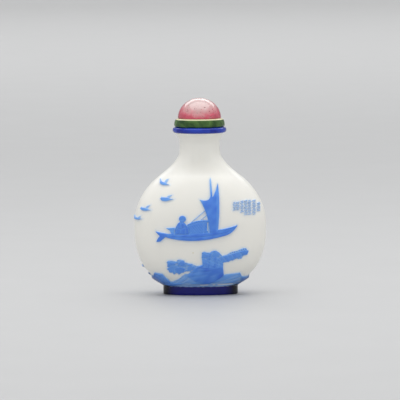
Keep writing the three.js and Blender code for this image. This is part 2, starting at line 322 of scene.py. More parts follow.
def onLeft(points):
    # x runs along the depth here, away from the front
    reach = np.clip(points[:, 0] / halfDepthAt(points[:, 1]), -1, 1)
    return math.pi - np.arcsin(reach), points[:, 1]


faces = {"front": onFront, "back": onBack, "left": onLeft}


def faceCoordinates(face, angle, z):
    if face == "left":
        return np.stack([halfDepthAt(z) * np.sin(angle), z], -1)
    across = halfWidthAt(z) * np.cos(angle)
    return np.stack([across if face == "front" else -across, z], -1)


def carve(outline, height, cut=None, edge=0.4, gap=0.0):
    # height off the ground, a cut into it, the width of its rounded edge, and a groove round it
    return {"outline": outline, "height": height, "cut": cut, "edge": edge, "gap": gap}


def seenOn(face, figures):
    return [{"face": face, **figure} for figure in figures]


# the boat under sail and its boatman: how far each part stands off the ground
boat = {
    "hull": 0.86, "cabin": 0.76, "sail": 0.84, "figure": 0.88, "head": 0.72, "rope": 0.4, "ropeWidth": 0.34,
    "tiller": 0.5, "post": 0.22,
}


def hullAndCabin():
    hull = drawn(
        (-15.9, 23.4), (-13.6, 22.9, -11.3, 22.5), (-4, 23.1), (6.6, 24), (10.2, 24.5, 13.2, 25.5),
        (11.6, 22.4, 8.9, 21.7), (1, 19.4, -6.5, 20.1), (-9.6, 20.4, -12.2, 21.2),
        (-14, 19.6), (-15.4, 19.4), (-15.1, 20.8, -14.2, 21.6),
    )
    gunwale = openLine((-11.2, 21.9), (-4, 22.4), (6.6, 23.2), (10, 23.6, 12.2, 24.6))
    plank = openLine((-10.4, 21.3), (-2.5, 20.9, 4, 21.7), (8, 22.1, 10.6, 23.3))
    cabin = drawn((-4.7, 22.5), (-4.7, 25.7), (-2, 27.7, 2.9, 27.35), (3.2, 26.6), (2.5, 26.4), (2.5, 22.5))
    roofLine = openLine((-4.6, 25), (-1.8, 26.9, 3, 26.55))
    cabinFront = openLine((1.3, 26.5), (1.2, 22.8))
    tiller = drawn((-12.3, 24.5), (-10.7, 23.5), (-10.4, 22.4), (-8.4, 22.4), (-8.4, 24.9))
    weave = together(ruled(0.9, 0.7, 0.07), ruled(-0.9, 0.7, 0.07))
    planking = together(scored([gunwale, plank], 0.15, 0.15), mottled(0.07, 0.5))
    return [
        carve(hull, boat["hull"], planking),
        carve(cabin, boat["cabin"], together(weave, scored([roofLine, cabinFront], 0.22, 0.15))),
        carve(stroke((3, 22.8), (3.1, 26.2), 0.8), boat["post"], edge=0.2),
        carve(tiller, boat["tiller"]),
    ]


def sailAndStays():
    sail = drawn(
        (3.75, 42.1), (3.3, 41.3), (3.6, 36), (3.4, 33.4, -0.2, 34.6), (3, 29, 3.3, 23),
        (6.3, 23), (7.4, 33, 6.25, 40.3), (5.4, 37, 4.45, 35.4), (4, 41.3),
    )
    mast = openLine((3.75, 41.5), (4, 35), (4.3, 24))
    leech = curves((5.95, 38, 6.6, 32, 6, 24))
    stays = [((1.9, 30.8), (-3.4, 26.3)), ((2.9, 29.5), (0, 27.1))]
    sailCuts = together(
        scored(leech, 0.2, 0.5), scored([mast], -0.08, 0.3), thinning((2, 33), (-0.2, 34.6), 0.35),
        thinning((3.9, 35), (3.7, 41), 0.22), mottled(0.06, 0.6),
    )
    return [
        *[carve(stroke(a, b, boat["ropeWidth"]), boat["rope"], edge=0.15) for a, b in stays],
        carve(sail, boat["sail"], sailCuts),
    ]


def boatman():
    robe = drawn((-9, 22.4), (-8.9, 25.8, -6.9, 27), (-5.2, 26.8, -4.3, 24.8), (-3.9, 22.4))
    folds = curves(
        (-6.7, 26.4, -6.3, 24.4, -7.2, 22.6), (-5.5, 26, -4.9, 24, -5.1, 22.6),
        (-8, 25.6, -7.7, 24.2, -8.7, 22.8), (-8.8, 24.3, -6.8, 23.9, -5.2, 24.8),
    )
    head = oval(-6.2, 27.75, 1.32, 1.22)
    brim = curves((-7.4, 27.5, -6.2, 27.1, -5, 27.4))
    return [
        carve(robe, boat["figure"], scored(folds, 0.26, 0.18), gap=0.3),
        carve(head, boat["head"], scored(brim, 0.2, 0.16), gap=0.25),
    ]


# a goose in flight is a body drawn out to the neck, and two lifted wings
flight = {"body": 0.52, "near": 0.4, "far": 0.26}  # how far each stands off the ground
# place, length, pitch, and the tips of the near and the far wing in lengths of the bird
frontGeese = [
    (-12.4, 39.8, 3.7, -0.2, (-0.52, 0.42), (0.3, 0.52)),
    (-11.6, 34.6, 4.9, 0, (-0.4, 0.2), (0.42, 0.32)),
    (-19.1, 30.8, 4, -0.08, (-0.4, 0.2), (0.38, 0.42)),
    (-21.8, 27.4, 3, 0, (-0.44, 0.42), (0.3, 0.34)),
]
backGeese = [
    (9, 36, 4.2, -0.2, (-0.5, 0.45), (0.38, 0.45)),
    (4.6, 33.4, 4.2, -0.1, (-0.4, 0.3), (0.42, 0.36)),
    (12.6, 31.6, 3.8, -0.1, (-0.45, 0.4), (0.4, 0.42)),
]


def goose(x, z, length, pitch, nearTip, farTip):
    turn = np.array([[math.cos(pitch), math.sin(pitch)], [-math.sin(pitch), math.cos(pitch)]])
    step = drawStep / length
    body = drawn(
        (-0.5, 0.02), (-0.42, 0.13, -0.24, 0.14), (0, 0.14, 0.2, 0.06), (0.36, 0.04, 0.52, 0.01),
        (0.34, -0.04, 0.16, -0.1), (-0.05, -0.18, -0.28, -0.16), (-0.44, -0.14, -0.5, 0.02), step=step,
    )
    (nearX, nearZ), (farX, farZ) = nearTip, farTip
    near = drawn(
        (-0.46, 0), (nearX - 0.02, nearZ * 0.6, nearX, nearZ), (-0.3, nearZ * 0.5, -0.16, 0.06), step=step,
    )
    far = drawn((-0.08, 0.06), (0, farZ, farX, farZ), (0.26, farZ * 0.7, 0.16, 0.06), step=step)
    shapes = ((far, flight["far"]), (near, flight["near"]), (body, flight["body"]))
    placed = [((outline * length) @ turn + np.array([x, z]), height) for outline, height in shapes]
    return [carve(outline, height, edge=0.35) for outline, height in placed]


def flock(birds):
    return [figure for bird in birds for figure in goose(*bird)]


# a fan of needles: how deep its teeth are, where its root lies, and the rays cut from it
needles = {
    "notch": 0.84, "root": 0.3, "rays": 5, "depth": 0.13, "edge": 0.45, "gap": 0.16, "droop": math.pi * 1.03,
}


def needleFan(x, z, radius, tilt, teeth, height=0.85):
    angles = np.linspace(tilt, tilt + math.pi, teeth * 2 + 1)
    reach = radius * np.where(np.arange(len(angles)) % 2, needles["notch"], 1)
    rim = np.stack([x + reach * np.cos(angles), z + reach * np.sin(angles)], -1)
    inset, middle = needles["root"] * radius, tilt + math.pi / 2
    root = (x - inset * math.cos(middle), z - inset * math.sin(middle))
    outline = drawn(tuple(rim[0]), *[tuple(p) for p in rim[1:]], root)
    rays = rayed(*root, teeth * needles["rays"], needles["depth"])
    return carve(outline, height, rays, edge=needles["edge"], gap=needles["gap"])


def branch(start, end, radius, fans):
    height = land["branch"]
    figures = [carve(stroke(start, end, radius), height, ruled(0.5, 0.5, 0.1))]
    for i in range(fans):
        x, z = partWay(start, end, (i + 0.5) / fans)
        figures.append(needleFan(x, z, radius * 1.2, needles["droop"], 4, height + 0.08 * (i % 2)))
    return figures


def hangingNeedles(start, end, fans, radius):
    # tufts along a limb, so that their needles make its ragged lower edge
    figures = []
    for i in range(fans):
        t = i / (fans - 1)
        x, z = partWay(start, end, t)
        tuft = radius * (1 - 0.3 * t)
        figures.append(needleFan(x, z, tuft, needles["droop"], 3, 0.68 + 0.1 * (i % 2)))
    return figures


# how far each form stands off the ground
land = {
    "rock": 0.88, "crag": 0.66, "bough": 0.6, "limb": 0.6, "mound": 0.42, "bank": 0.5, "shallows": 0.24,
    "backRock": 0.9, "trunk": 0.7, "branch": 0.8, "reed": 0.5, "sideRock": 0.55,
}
leafy = together(mottled(0.1, 0.8), mottled(0.09, 2.3))  # the uneven face of the foliage
# the tufts of each front pine: place, radius, tilt and height
boughTufts = [
    (-10.2, 11.1, 1.7, 0.3, 0.72), (-6.6, 11.4, 1.6, 0.1, 0.72), (-9.6, 10.6, 2.4, math.pi * 1.08, 0.66),
    (-7.2, 10.2, 2.1, math.pi, 0.74), (-3.2, 9.9, 1.6, 0.05, 0.68),
]
cragTufts = [(1.7, 14.2, 1.5, 0.15, 0.66), (5.3, 14.5, 1.6, -0.05, 0.68)]


def tufts(places):
    return [needleFan(x, z, radius, tilt, 4, height) for x, z, radius, tilt, height in places]


def frontBough():
    bough = drawn(
        (-12, 12.1), (-11.5, 12.9), (-10.4, 13.2, -8.6, 12.7), (-7.9, 13.3), (-6.9, 13.6, -5.7, 13),
        (-5.1, 12.3), (-3.1, 11.9), (-1.3, 11.1), (0.6, 11.4), (0.4, 8.6), (-4.9, 9.1), (-6.6, 8.7),
        (-7.5, 7.8), (-8.4, 8.4), (-9.3, 7.7), (-9.9, 8.9), (-10.6, 8.9), (-11, 10), (-11.6, 10.4),
        (-11.2, 11.2),
    )
    boughCuts = together(ruled(0.25, 0.9, 0.25, 2), leafy)
    return [carve(bough, land["bough"], boughCuts, edge=0.35), *tufts(boughTufts)]


def frontRock():
    rock = drawn(
        (-6.4, 3.4), (-6, 6.6, -4.9, 7.7), (-2.6, 9.8, -1.2, 10.8), (0.6, 11.6), (2.4, 12.4),
        (7.9, 11.2), (8.1, 9.6), (8.3, 6, 9.4, 3.4),
    )
    strata = curves(
        (-5, 6.9, -1, 7, 2.4, 8), (-3.2, 8.6, 0, 8.7, 3.8, 9.4),
        (-1, 10.2, 2, 9.9, 6.2, 10.8), (3.6, 7.4, 5.6, 7.7, 7.2, 8.9),
    )
    rockCuts = together(
        scored(strata, 0.11, 0.3), ruled(0.03, 0.56, 0.05), thinning((1.5, 8.5), (-6, 6), 0.34),
        thinning((2, 5.4), (2, 3.4), 0.3), mottled(0.08, 0.5),
    )
    return [carve(rock, land["rock"], rockCuts, edge=1.1, gap=0.15)]


def frontBanks():
    leftMound = drawn(
        (-10.4, 5), (-9.4, 5.3), (-7.7, 6.3), (-5.6, 8.1), (-4.6, 7.4, -2.6, 6), (-1.2, 5), (-4, 4.9),
        (-8.6, 4.7),
    )
    moundStreaks = curves(
        (-9, 4.9, -7.4, 5.7, -5.6, 7.2), (-6.6, 4.9, -5, 5.7, -4.2, 6.6),
    )
    rightBank = drawn(
        (2.4, 3.6), (3.2, 4.7), (5.6, 5.6, 8.1, 7.75), (11, 7.8), (14, 8.3), (14.6, 6.9), (13.9, 4.7),
        (12.4, 4.3), (6, 4.3), (4, 3.6),
    )
    bankStreaks = curves(
        (4, 4.3, 8, 5.2, 13, 7.4), (7, 4.9, 10.4, 5.4, 13.8, 6.3),
    )
    return [
        carve(leftMound, land["mound"], scored(moundStreaks, 0.16, 0.24), edge=0.7, gap=0.08),
        carve(rightBank, land["bank"], scored(bankStreaks, 0.18, 0.24), edge=0.6, gap=0.14),
    ]


def frontCrag():
    crag = drawn(
        (0.7, 10.5), (0.4, 14.4), (0.5, 15.8), (1, 16.3, 1.6, 16.2), (2.4, 15.9), (3.4, 15.9),
        (4.4, 16.8, 5.6, 16.5), (6.6, 15.9), (7.7, 14.7), (8.1, 13), (8, 10.5),
    )
    clefts = curves(
        (2.3, 15.2, 1.6, 13.6, 2.8, 12), (4.1, 15, 4.6, 13.6, 4, 12.2),
        (6.5, 15, 5.6, 13.8, 6.4, 12.4),
    )
    limb = drawn(
        (7.4, 14.6), (9.2, 15), (11.1, 16), (13, 16.3), (14.4, 16.9), (15.4, 17.3, 16.2, 17),
        (17, 16.2, 16.9, 15.6), (16.7, 14.8, 16.1, 14.4), (15.1, 14.3), (14.6, 13.4), (13.4, 13.1),
        (12.6, 13.4), (11.4, 12.6), (10.4, 13.1), (8.8, 12.6), (7.4, 12.6),
    )
    limbLine = curves((7.8, 13.6, 12, 14.2, 16.2, 15.6))
    return [
        carve(crag, land["crag"], together(scored(clefts, 0.14, 0.3), leafy), edge=0.5),
        *tufts(cragTufts),
        carve(limb, land["limb"], together(ruled(1.75, 0.8, 0.3, 2), scored(limbLine, 0.1, 0.4))),
        *hangingNeedles((8.8, 14.2), (15.4, 16), 6, 2.35),
    ]


def backLand():
    rock = drawn(
        (-13.8, 3.4), (-12.4, 9), (-11.6, 12, -10.8, 12.6), (-8.9, 13.7), (-7.4, 11.2), (-4.8, 9.4),
        (-2, 3.4),
    )
    strata = curves(
        (-11.6, 10.8, -9.4, 9.4, -9, 5.4), (-8.6, 12.8, -8.8, 9.8, -6.2, 6.4),
        (-6.6, 10.2, -4.6, 8, -4.4, 5.2),
    )
    reeds = [
        ((9, 6), (10.4, 14.6)), ((10, 6), (12.8, 12.6)), ((8.6, 6), (7.8, 12)),
        ((9.6, 6), (11.8, 9.8)),
    ]
    rockCuts = together(scored(strata, 0.3, 0.24), ruled(0.6, 0.7, 0.06))
    return [
        carve(rock, land["backRock"], rockCuts, edge=0.6),
        carve(stroke((-9.4, 12), (-5.6, 19.6), 1.3, 0.6), land["trunk"], ruled(1.1, 0.5, 0.1)),
        *branch((-8, 16.4), (-1.6, 17.4), 1.3, 5),
        *branch((-10.6, 19.4), (-3.2, 20.6), 1.4, 5),
        needleFan(-9.4, 19.2, 1.9, 0.1, 4),
        needleFan(-6, 19.9, 2, 0.1, 4),
        *[carve(stroke(a, b, 0.6, 0.25), land["reed"], edge=0.2) for a, b in reeds],
    ]


def sideLand():
    # a rock towards the back, with two thin ledges that reach forward
    rock = drawn(
        (10.4, 3.4), (9.2, 9.6), (7.2, 8.4), (5.6, 11.2), (4.2, 10.3), (2.9, 10.7), (0, 10.8), (-0.1, 10.1),
        (2.7, 9.5), (2.8, 8.3), (-0.1, 7.9), (-0.1, 7.3), (2.7, 6.8), (2.7, 3.4),
    )
    strata = curves(
        (5.4, 10.6, 6.2, 8, 5.2, 5), (8.6, 9, 7.8, 7, 8.6, 5), (3.4, 10, 4.4, 8, 3.6, 5),
    )
    return [carve(rock, land["sideRock"], scored(strata, 0.28, 0.24))]


# the shore is one band all round, so that it has no edge where the front meets the back
shore = {
    "height": 0.6, "endsHeight": 0.34, "ends": 6.6, "pitch": 0.62, "line": 0.06, "runOut": 1.1, "top": 9,
    "edge": 0.5, "streakDepth": 0.34, "streakWidth": 0.22,
    "endsShade": 0.66, "endsReach": 9, "shadeFrom": 0.2,  # how deep the painted shade at its two ends is, how narrow, how low
}
frontBank = [
    (14.7, 6.8), (14, 8.3), (8, 7.8), (-5, 8.2), (-5.6, 8.1), (-7.7, 6.3), (-9.6, 5.3), (-10.6, 5.1),
    (-11.3, 5.9), (-12.4, 6.9), (-13.4, 8), (-16.2, 8.4),
]
backBank = [
    (15.2, 7.6), (10.5, 7.2), (8.6, 5.6), (4.4, 5.2), (1.5, 6.3), (-3, 7), (-10, 8.6), (-15, 8),
]


def bankLine(bank):
    end, reach = shore["ends"], halfWidthAt(shore["ends"])
    return openLine((reach, end), *bank, (-reach, end))


def shoreOutline():
    over = 3.0  # how far the band runs past the seam and the foot
    top = np.concatenate([unroll(*onFront(bankLine(frontBank))), unroll(*onBack(bankLine(backBank)))])
    end = unroll(0, np.array(shore["ends"]))[1]
    corners = [(-over, -over), (skinWidth + over, -over), (skinWidth + over, end)]
    return np.concatenate([np.array(corners), top, [(-over, end)]])


def shallows():
    # above the foot the blue thins out, and in three places the white shows through
    thin = drawn(
        (-9.6, 2), (-9, 4), (-5, 4.8), (0, 4.5), (4, 4.9), (9, 4.7), (12.6, 4.3), (12.6, 2),
    )
    gaps = [((-0.2, 3.85), (2.8, 3.9)), ((4.2, 3.85), (5.2, 3.9)), ((6, 3.85), (11.6, 4))]
    bare = [carve(stroke(a, b, 0.6), 0, edge=0.2) for a, b in gaps]
    return [carve(thin, land["shallows"], ruled(0.05, 0.6, 0.05), edge=1.3), *bare]


shoreStreaks = curves(
    (-15.8, 7.6, -13.6, 6.8, -12.2, 4.6), (-13.9, 7.6, -12.6, 6.2, -11, 4.2),
)


# the inscription's place holds columns of short slanting strokes, which aren't writing
inscription = {"height": 0.4, "pitch": 0.52, "reach": 0.64, "rise": 0.12, "width": 0.34}
# each column's place, its top and its number of strokes
inscriptionColumns = [
    (12, 33.3, 6), (13.3, 33.3, 6), (14.8, 33.6, 8), (16.2, 33.7, 10), (17.6, 33.7, 10), (18.9, 33.6, 10),
    (20.6, 32.6, 6),
]


def strokeRows():
    figures = []
    for column, (x, top, rows) in enumerate(inscriptionColumns):
        for row in range(rows):
            turn = row * 5 + column * 3
            z = top - row * inscription["pitch"]
            reach = inscription["reach"] * (0.6, 1, 0.78, 0.92)[turn % 4]
            shift = (0.16, 0, -0.14, 0.05, -0.04)[turn % 5]
            lean = inscription["rise"] * (1, 0.5, 1.4)[turn % 3]
            ends = (x + shift - reach, z - lean), (x + shift + reach, z + lean)
            height = inscription["height"] * (1, 0.8, 1.1)[turn % 3]
            figures.append(carve(stroke(*ends, inscription["width"]), height, edge=0.1))
    return figures


layers = [
    *seenOn("front", frontBough() + frontRock() + frontBanks() + frontCrag() + shallows()),
    *seenOn("back", backLand()),
    *seenOn("left", sideLand()),
    *seenOn("front", hullAndCabin() + sailAndStays() + boatman() + flock(frontGeese)),
    *seenOn("back", flock(backGeese)),
    *seenOn("front", strokeRows()),
]
print("carving drawn:", len(layers), "figures")


# how the figures rise from the ground
relief = {
    "wall": 0.13,  # how wide a figure's steep wall is
    "wallShare": (0.62, 0.38),  # the height that the wall takes, and the rounded shoulder
    "groove": 0.28, "nearness": 0.35, "reach": 0.8,  # how far a figure's groove, the painted bounce tint round it, and its effect go
    "deepestGroove": 0.7,  # as a share of what lies under it
}
# points lie close together on the carving and far apart on the plain ground
mesh = {
    "fine": 0.2, "coarse": 0.62, "margin": 0.06, "cell": 0.8, "rowSpacing": 0.866, "seam": 140,
    "deepFrom": 0.2,  # the fine points start this far inside an outline
    "fineApart": 0.7, "coarseApart": 0.4,
    "rings": ((0.0, 0.07), (0.13, 0.08), (-0.1, 0.08), (0.28, 0.11)),  # in from the outline, and apart
}


def edgeProfile(inward, edge):
    # a steep wall, then a rounded shoulder up to the flat
    wall = np.clip(inward / relief["wall"], 0, 1)
    roundOff = np.clip(inward / edge, 0, 1)
    wallShare, roundShare = relief["wallShare"]
    return wallShare * wall + roundShare * np.sqrt(1 - (1 - roundOff) ** 2)


def fading(inward, reach):
    # 1 inside an outline, and sinking to nothing outside it
    return np.exp(-((np.maximum(-inward, 0) / reach) ** 2))


def besideOutline(points, outline, reach=0.0):
    low, high = outline.min(axis=0) - reach, outline.max(axis=0) + reach
    return np.nonzero(np.all((points > low) & (points < high), axis=1))[0]


def shoreHeight(flat, angle, z, inward):
    lines = ruled(0.0, shore["pitch"], shore["line"])(np.stack([flat[:, 0], z], -1))
    low = np.nonzero((z < shore["top"]) & (np.sin(angle) < 0))[0]
    streaks = scored(shoreStreaks, shore["streakDepth"], shore["streakWidth"])
    lines[low] += streaks(faceCoordinates("front", angle[low], z[low]))
    own = shore["height"] + shore["endsHeight"] * np.abs(np.cos(angle)) ** 3 + lines
    return np.where(inward > 0, edgeProfile(inward, shore["edge"]) * own, 0)


def surfaceHeight(flat):
    # the carving's height at points of the unrolled skin, and how near the ground is to a figure
    angle, z = rollBack(flat[:, 0], flat[:, 1])
    inward = insideDepth(flat, shoreFlat)
    height = shoreHeight(flat, angle, z, inward)
    nearness = fading(inward, relief["nearness"])
    for layer in layers:
        near = besideOutline(flat, layer["flat"], relief["reach"])
        if not len(near):
            continue
        inward = insideDepth(flat[near], layer["flat"])
        own = layer["height"]
        if layer["cut"] is not None:
            own = own + layer["cut"](faceCoordinates(layer["face"], angle[near], z[near]))
        blend = np.where(inward > 0, edgeProfile(inward, layer["edge"]), 0)
        groove = layer["gap"] * fading(inward, relief["groove"])
        under = height[near] - np.minimum(groove, height[near] * relief["deepestGroove"])
        height[near] = (1 - blend) * under + blend * own
        nearness[near] = np.maximum(nearness[near], fading(inward, relief["nearness"]))
    return height, nearness


def ringsAlong(outline):
    tangent = np.roll(outline, -1, axis=0) - np.roll(outline, 1, axis=0)
    tangent /= np.linalg.norm(tangent, axis=1, keepdims=True) + 1e-9
    area = np.sum(outline[:, 0] * np.roll(outline[:, 1], -1) - np.roll(outline[:, 0], -1) * outline[:, 1])
    inwardNormal = np.stack([-tangent[:, 1], tangent[:, 0]], -1) * (1 if area > 0 else -1)
    return [outline + inwardNormal * offset for offset, _ in mesh["rings"]]


def hexGrid(pitch):
    rows = int(skinHeight / (pitch * mesh["rowSpacing"]))
    points = []
    for row in range(1, rows):
        xs = np.arange(pitch * (0.5 if row % 2 else 1.0), skinWidth - pitch * 0.3, pitch)
        points.append(np.stack([xs, np.full(len(xs), row * skinHeight / rows)], -1))
    return np.concatenate(points)


def thinned(groups):
    # keeps a point only where no earlier one is closer than its group's spacing
    kept, cells, size = [], {}, mesh["cell"]
    for points, spacing in groups:
        margin = mesh["margin"] if spacing else 0.0  # only the border's own points lie on it
        for x, y in points:
            if not (margin <= x <= skinWidth - margin and margin <= y <= skinHeight - margin):
                continue
            cx, cy = int(x / size), int(y / size)
            beside = [(i, j) for i in (cx - 1, cx, cx + 1) for j in (cy - 1, cy, cy + 1)]
            others = [other for cell in beside for other in cells.get(cell, ())]
            if any((px - x) ** 2 + (py - y) ** 2 < spacing * spacing for px, py in others):
                continue
            kept.append((x, y))
            cells.setdefault((cx, cy), []).append((x, y))
    return np.array(kept)


def skinPoints():
    around = np.arange(bottle["around"] + 1) / bottle["around"] * 2 * math.pi
    ringAcross = np.interp(around, angleTable, acrossTable)
    seamUp = np.linspace(0, skinHeight, mesh["seam"])
    border = [(x, y) for y in (0, skinHeight) for x in ringAcross]
    border += [(x, y) for x in (0, skinWidth) for y in seamUp[1:-1]]
    rings = [ringsAlong(shoreFlat)] + [ringsAlong(layer["flat"]) for layer in layers]
    inner = hexGrid(mesh["fine"])
    deepest = insideDepth(inner, shoreFlat)
    for layer in layers:
        near = besideOutline(inner, layer["flat"])
        if len(near):
            deepest[near] = np.maximum(deepest[near], insideDepth(inner[near], layer["flat"]))
    groups = [(np.array(border), 0.0)]
    for level, (_, spacing) in enumerate(mesh["rings"]):
        groups.append((np.concatenate([ring[level] for ring in rings]), spacing))
    groups.append((inner[deepest > mesh["deepFrom"]], mesh["fine"] * mesh["fineApart"]))
    groups.append((hexGrid(mesh["coarse"]), mesh["coarseApart"]))
    return thinned(groups)


for layer in layers:
    layer["flat"] = unroll(*faces[layer["face"]](layer["outline"]))
shoreFlat = shoreOutline()
flatPoints = skinPoints()
print("skin points:", len(flatPoints))

joined = geometry.delaunay_2d_cdt([Vector(p) for p in flatPoints], [], [], 0, 1e-6)
triangles = joined[2]
flat = np.array([tuple(v) for v in joined[0]])
print("skin joined:", len(triangles), "triangles")


def skinVertices(flat):
    angle, z = rollBack(flat[:, 0], flat[:, 1])
    level = flat.copy()
    level[:, 0] = np.where(flat[:, 0] > skinWidth - 1e-4, 0.0, flat[:, 0])  # one height along the seam
    height, nearness = surfaceHeight(level)
    height *= np.clip((skinHeight - flat[:, 1]) / bottle["skinFade"], 0, 1)
    onFoot = np.clip(flat[:, 1] / shore["runOut"], 0, 1)  # the relief runs out to nothing at the foot
    raised = skinPoint(angle, z) + skinNormal(angle, z) * (height * onFoot)[:, None]
    footLine = bottle["footTop"] + bottle["footEnds"] * np.abs(np.cos(angle)) ** 4
    deep = 1 - np.clip((z - footLine) / bottle["footLineWidth"] + 0.5, 0, 1)
    ends = shore["endsShade"] * np.abs(np.cos(angle)) ** shore["endsReach"]  # painted shade: the band's two ends, thicker there, darkened nearly to navy where they turn to the sides
    deep = np.maximum(deep, np.where((height > shore["shadeFrom"]) & (z < shore["top"]), ends, 0))
    return raised, height, nearness, deep


skinXyz, skinRaise, skinNear, skinDeep = skinVertices(flat)
print("skin raised")


# the rest of the bottle is built of rings: foot, neck, lip, bore and chamber
def chamberHalf(z):
    halfWidth, halfDepth, below, above, power = bottle["chamber"]
    reach = np.where(z < bottle["bellyZ"], below, above)
    form = fullness((z - bottle["bellyZ"]) / reach, power)
    return halfWidth * form, halfDepth * form


def ringAt(z):
    return float(halfWidthAt(z)), float(halfDepthAt(z)), z


def footRings():
    # down the foot, under its rim and into the recess, as distances in from the foot's side
    wide, deep, ease = bottle["footHalfWidth"], bottle["footHalfDepth"], bottle["ease"]
    rim, recess = bottle["rim"], bottle["recess"]
    inset = [(0.0, ease)]
    for a in np.linspace(0.3, math.pi / 2, 5):
        inset.append((ease * (1 - math.cos(a)), ease * (1 - math.sin(a))))
    inset += [(rim - 0.25, 0.0), (rim - 0.08, 0.08), (rim, 0.3), (rim, 0.9)]
    inset += [(rim + 0.12, 1.3), (rim + 0.45, recess)]
    rings = [ringAt(z) for z in np.linspace(bottle["skinFrom"], 1.2, 7)[1:]]
    rings += [(wide - across, deep - across, z) for across, z in inset]
    rings += [((wide - rim) * k, (deep - rim) * k, recessTop) for k in (0.75, 0.5, 0.25)]
    return rings


def topRings():
    return [ringAt(z) for z in np.linspace(bottle["skinTo"], bottle["lipZ"] - 0.1, 26)[1:]]


def lipRings():
    low, top, radius, bore = bottle["lipZ"], bottleTop, bottle["lipRadius"], bottle["boreRadius"]
    middle, half = (low + top - 0.25) / 2, (top - 0.25 - low) / 2
    profile = [(radius - 0.55, low + 0.02)]
    for a in np.linspace(-1.3, 1.25, 11):
        profile.append((radius - 0.6 + 0.6 * math.cos(a), middle + half * math.sin(a)))
    profile += [(radius - 0.8, top - 0.08), (radius - 1.4, top)]
    profile += [(bore + 0.6, top), (bore + 0.15, top - 0.12), (bore, top - 0.5)]
    return [(r, r, z) for r, z in profile]


def chamberRings():
    bore = bottle["boreRadius"]
    _, _, below, above, _ = bottle["chamber"]
    rings = [(bore, bore, z) for z in np.linspace(bottleTop - 2, bottle["boreTo"], 6)]
    for a in np.linspace(1.36, -1.5, 30):
        z = bottle["bellyZ"] + (above if a > 0 else below) * math.sin(a)
        wide, deep = chamberHalf(z)
        least = bore if z > bottle["boreFrom"] else 0.5
        rings.append((max(float(wide), least), max(float(deep), least), z))
    return rings


bottleTop = sizeOf("bottle")[1]
recessTop = bottle["recess"] + bottle["recessRise"]


def addRing(bm, half, count=bottle["around"]):
    wide, deep, z = half
    angles = [2 * math.pi * i / count for i in range(count)]
    return [bm.verts.new((wide * math.cos(a) * mm, deep * math.sin(a) * mm, z * mm)) for a in angles]


def addFace(bm, corners, slot, flip):
    face = bm.faces.new(corners[::-1] if flip else corners)
    face.material_index = slot
    face.smooth = True


def stackRings(bm, ring, halves, slot, flip=False):
    # each new ring is joined to the one before it
    for half in halves:
        following = addRing(bm, half)
        for i in range(len(ring)):
            j = (i + 1) % len(ring)
            addFace(bm, [ring[i], ring[j], following[j], following[i]], slot, flip)
        ring = following
    return ring


def capRing(bm, ring, z, slot, flip=False):
    centre = bm.verts.new((0, 0, z * mm))
    for i in range(len(ring)):
        addFace(bm, [ring[i], ring[(i + 1) % len(ring)], centre], slot, flip)


def linked(name, data):
    made = bpy.data.objects.new(name, data)
    bpy.context.scene.collection.objects.link(made)
    return made


whiteSlot, footSlot, lipSlot = 0, 1, 2


def smoothGround(data):
    # away from the carving, the white ground shades as the form itself does
    count = len(data.vertices)
    places, normals, even = np.empty(count * 3), np.empty(count * 3), np.empty(count)
    data.vertices.foreach_get("co", places)
    data.vertices.foreach_get("normal", normals)
    data.attributes["even"].data.foreach_get("value", even)
    x, y, z = places.reshape(-1, 3).T / mm
    z = np.clip(z, bottle["skinFrom"], bottle["skinTo"])
    ideal = skinNormal(np.arctan2(y / halfDepthAt(z), x / halfWidthAt(z)), z)
    normals = normals.reshape(-1, 3)
    normals += (ideal - normals) * even[:, None]
    data.normals_split_custom_set_from_vertices(normals / np.linalg.norm(normals, axis=1, keepdims=True))
    data.attributes.remove(data.attributes["even"])


def buildBottle():
    bm = bmesh.new()
    cover = bm.verts.layers.float.new("cover")  # the blue glass over each point, in millimetres
    # painted bounce light: how near each point lies to a figure, which tints the white glass blue there
    stain = bm.verts.layers.float.new("stain")
    deep = bm.verts.layers.float.new("deep")
    even = bm.verts.layers.float.new("even")
    made = []
    for (x, y, z), raised, near, dark in zip(skinXyz, skinRaise, skinNear, skinDeep):
        vertex = bm.verts.new((x * mm, y * mm, z * mm))
        vertex[cover], vertex[stain], vertex[deep] = raised, near, dark
        vertex[even] = max(1 - near * 4, 0) if raised < 1e-4 else 0  # 1 well away from the carving
        made.append(vertex)
    for corners in triangles:
        face = bm.faces.new([made[i] for i in corners])
        face.smooth = True
    ring = addRing(bm, ringAt(bottle["skinTo"]))
    for slot, halves in ((whiteSlot, topRings()), (lipSlot, lipRings()), (whiteSlot, chamberRings())):
        ring = stackRings(bm, ring, halves, slot)
    capRing(bm, ring, bottle["bellyZ"] - bottle["chamber"][2], whiteSlot)
    ring = stackRings(bm, addRing(bm, ringAt(bottle["skinFrom"])), footRings(), footSlot, flip=True)
    capRing(bm, ring, recessTop, footSlot, flip=True)
    bmesh.ops.remove_doubles(bm, verts=bm.verts, dist=0.002 * mm)
    bmesh.ops.recalc_face_normals(bm, faces=bm.faces)
    data = bpy.data.meshes.new("bottle_glass")
    openEdges = [edge for edge in bm.edges if len(edge.link_faces) != 2]
    print("bottle:", len(bm.faces), "faces,", len(openEdges), "open edges")
    bm.to_mesh(data)
    bm.free()
    smoothGround(data)
    return linked("bottle_glass", data)


bottlePiece = buildBottle()


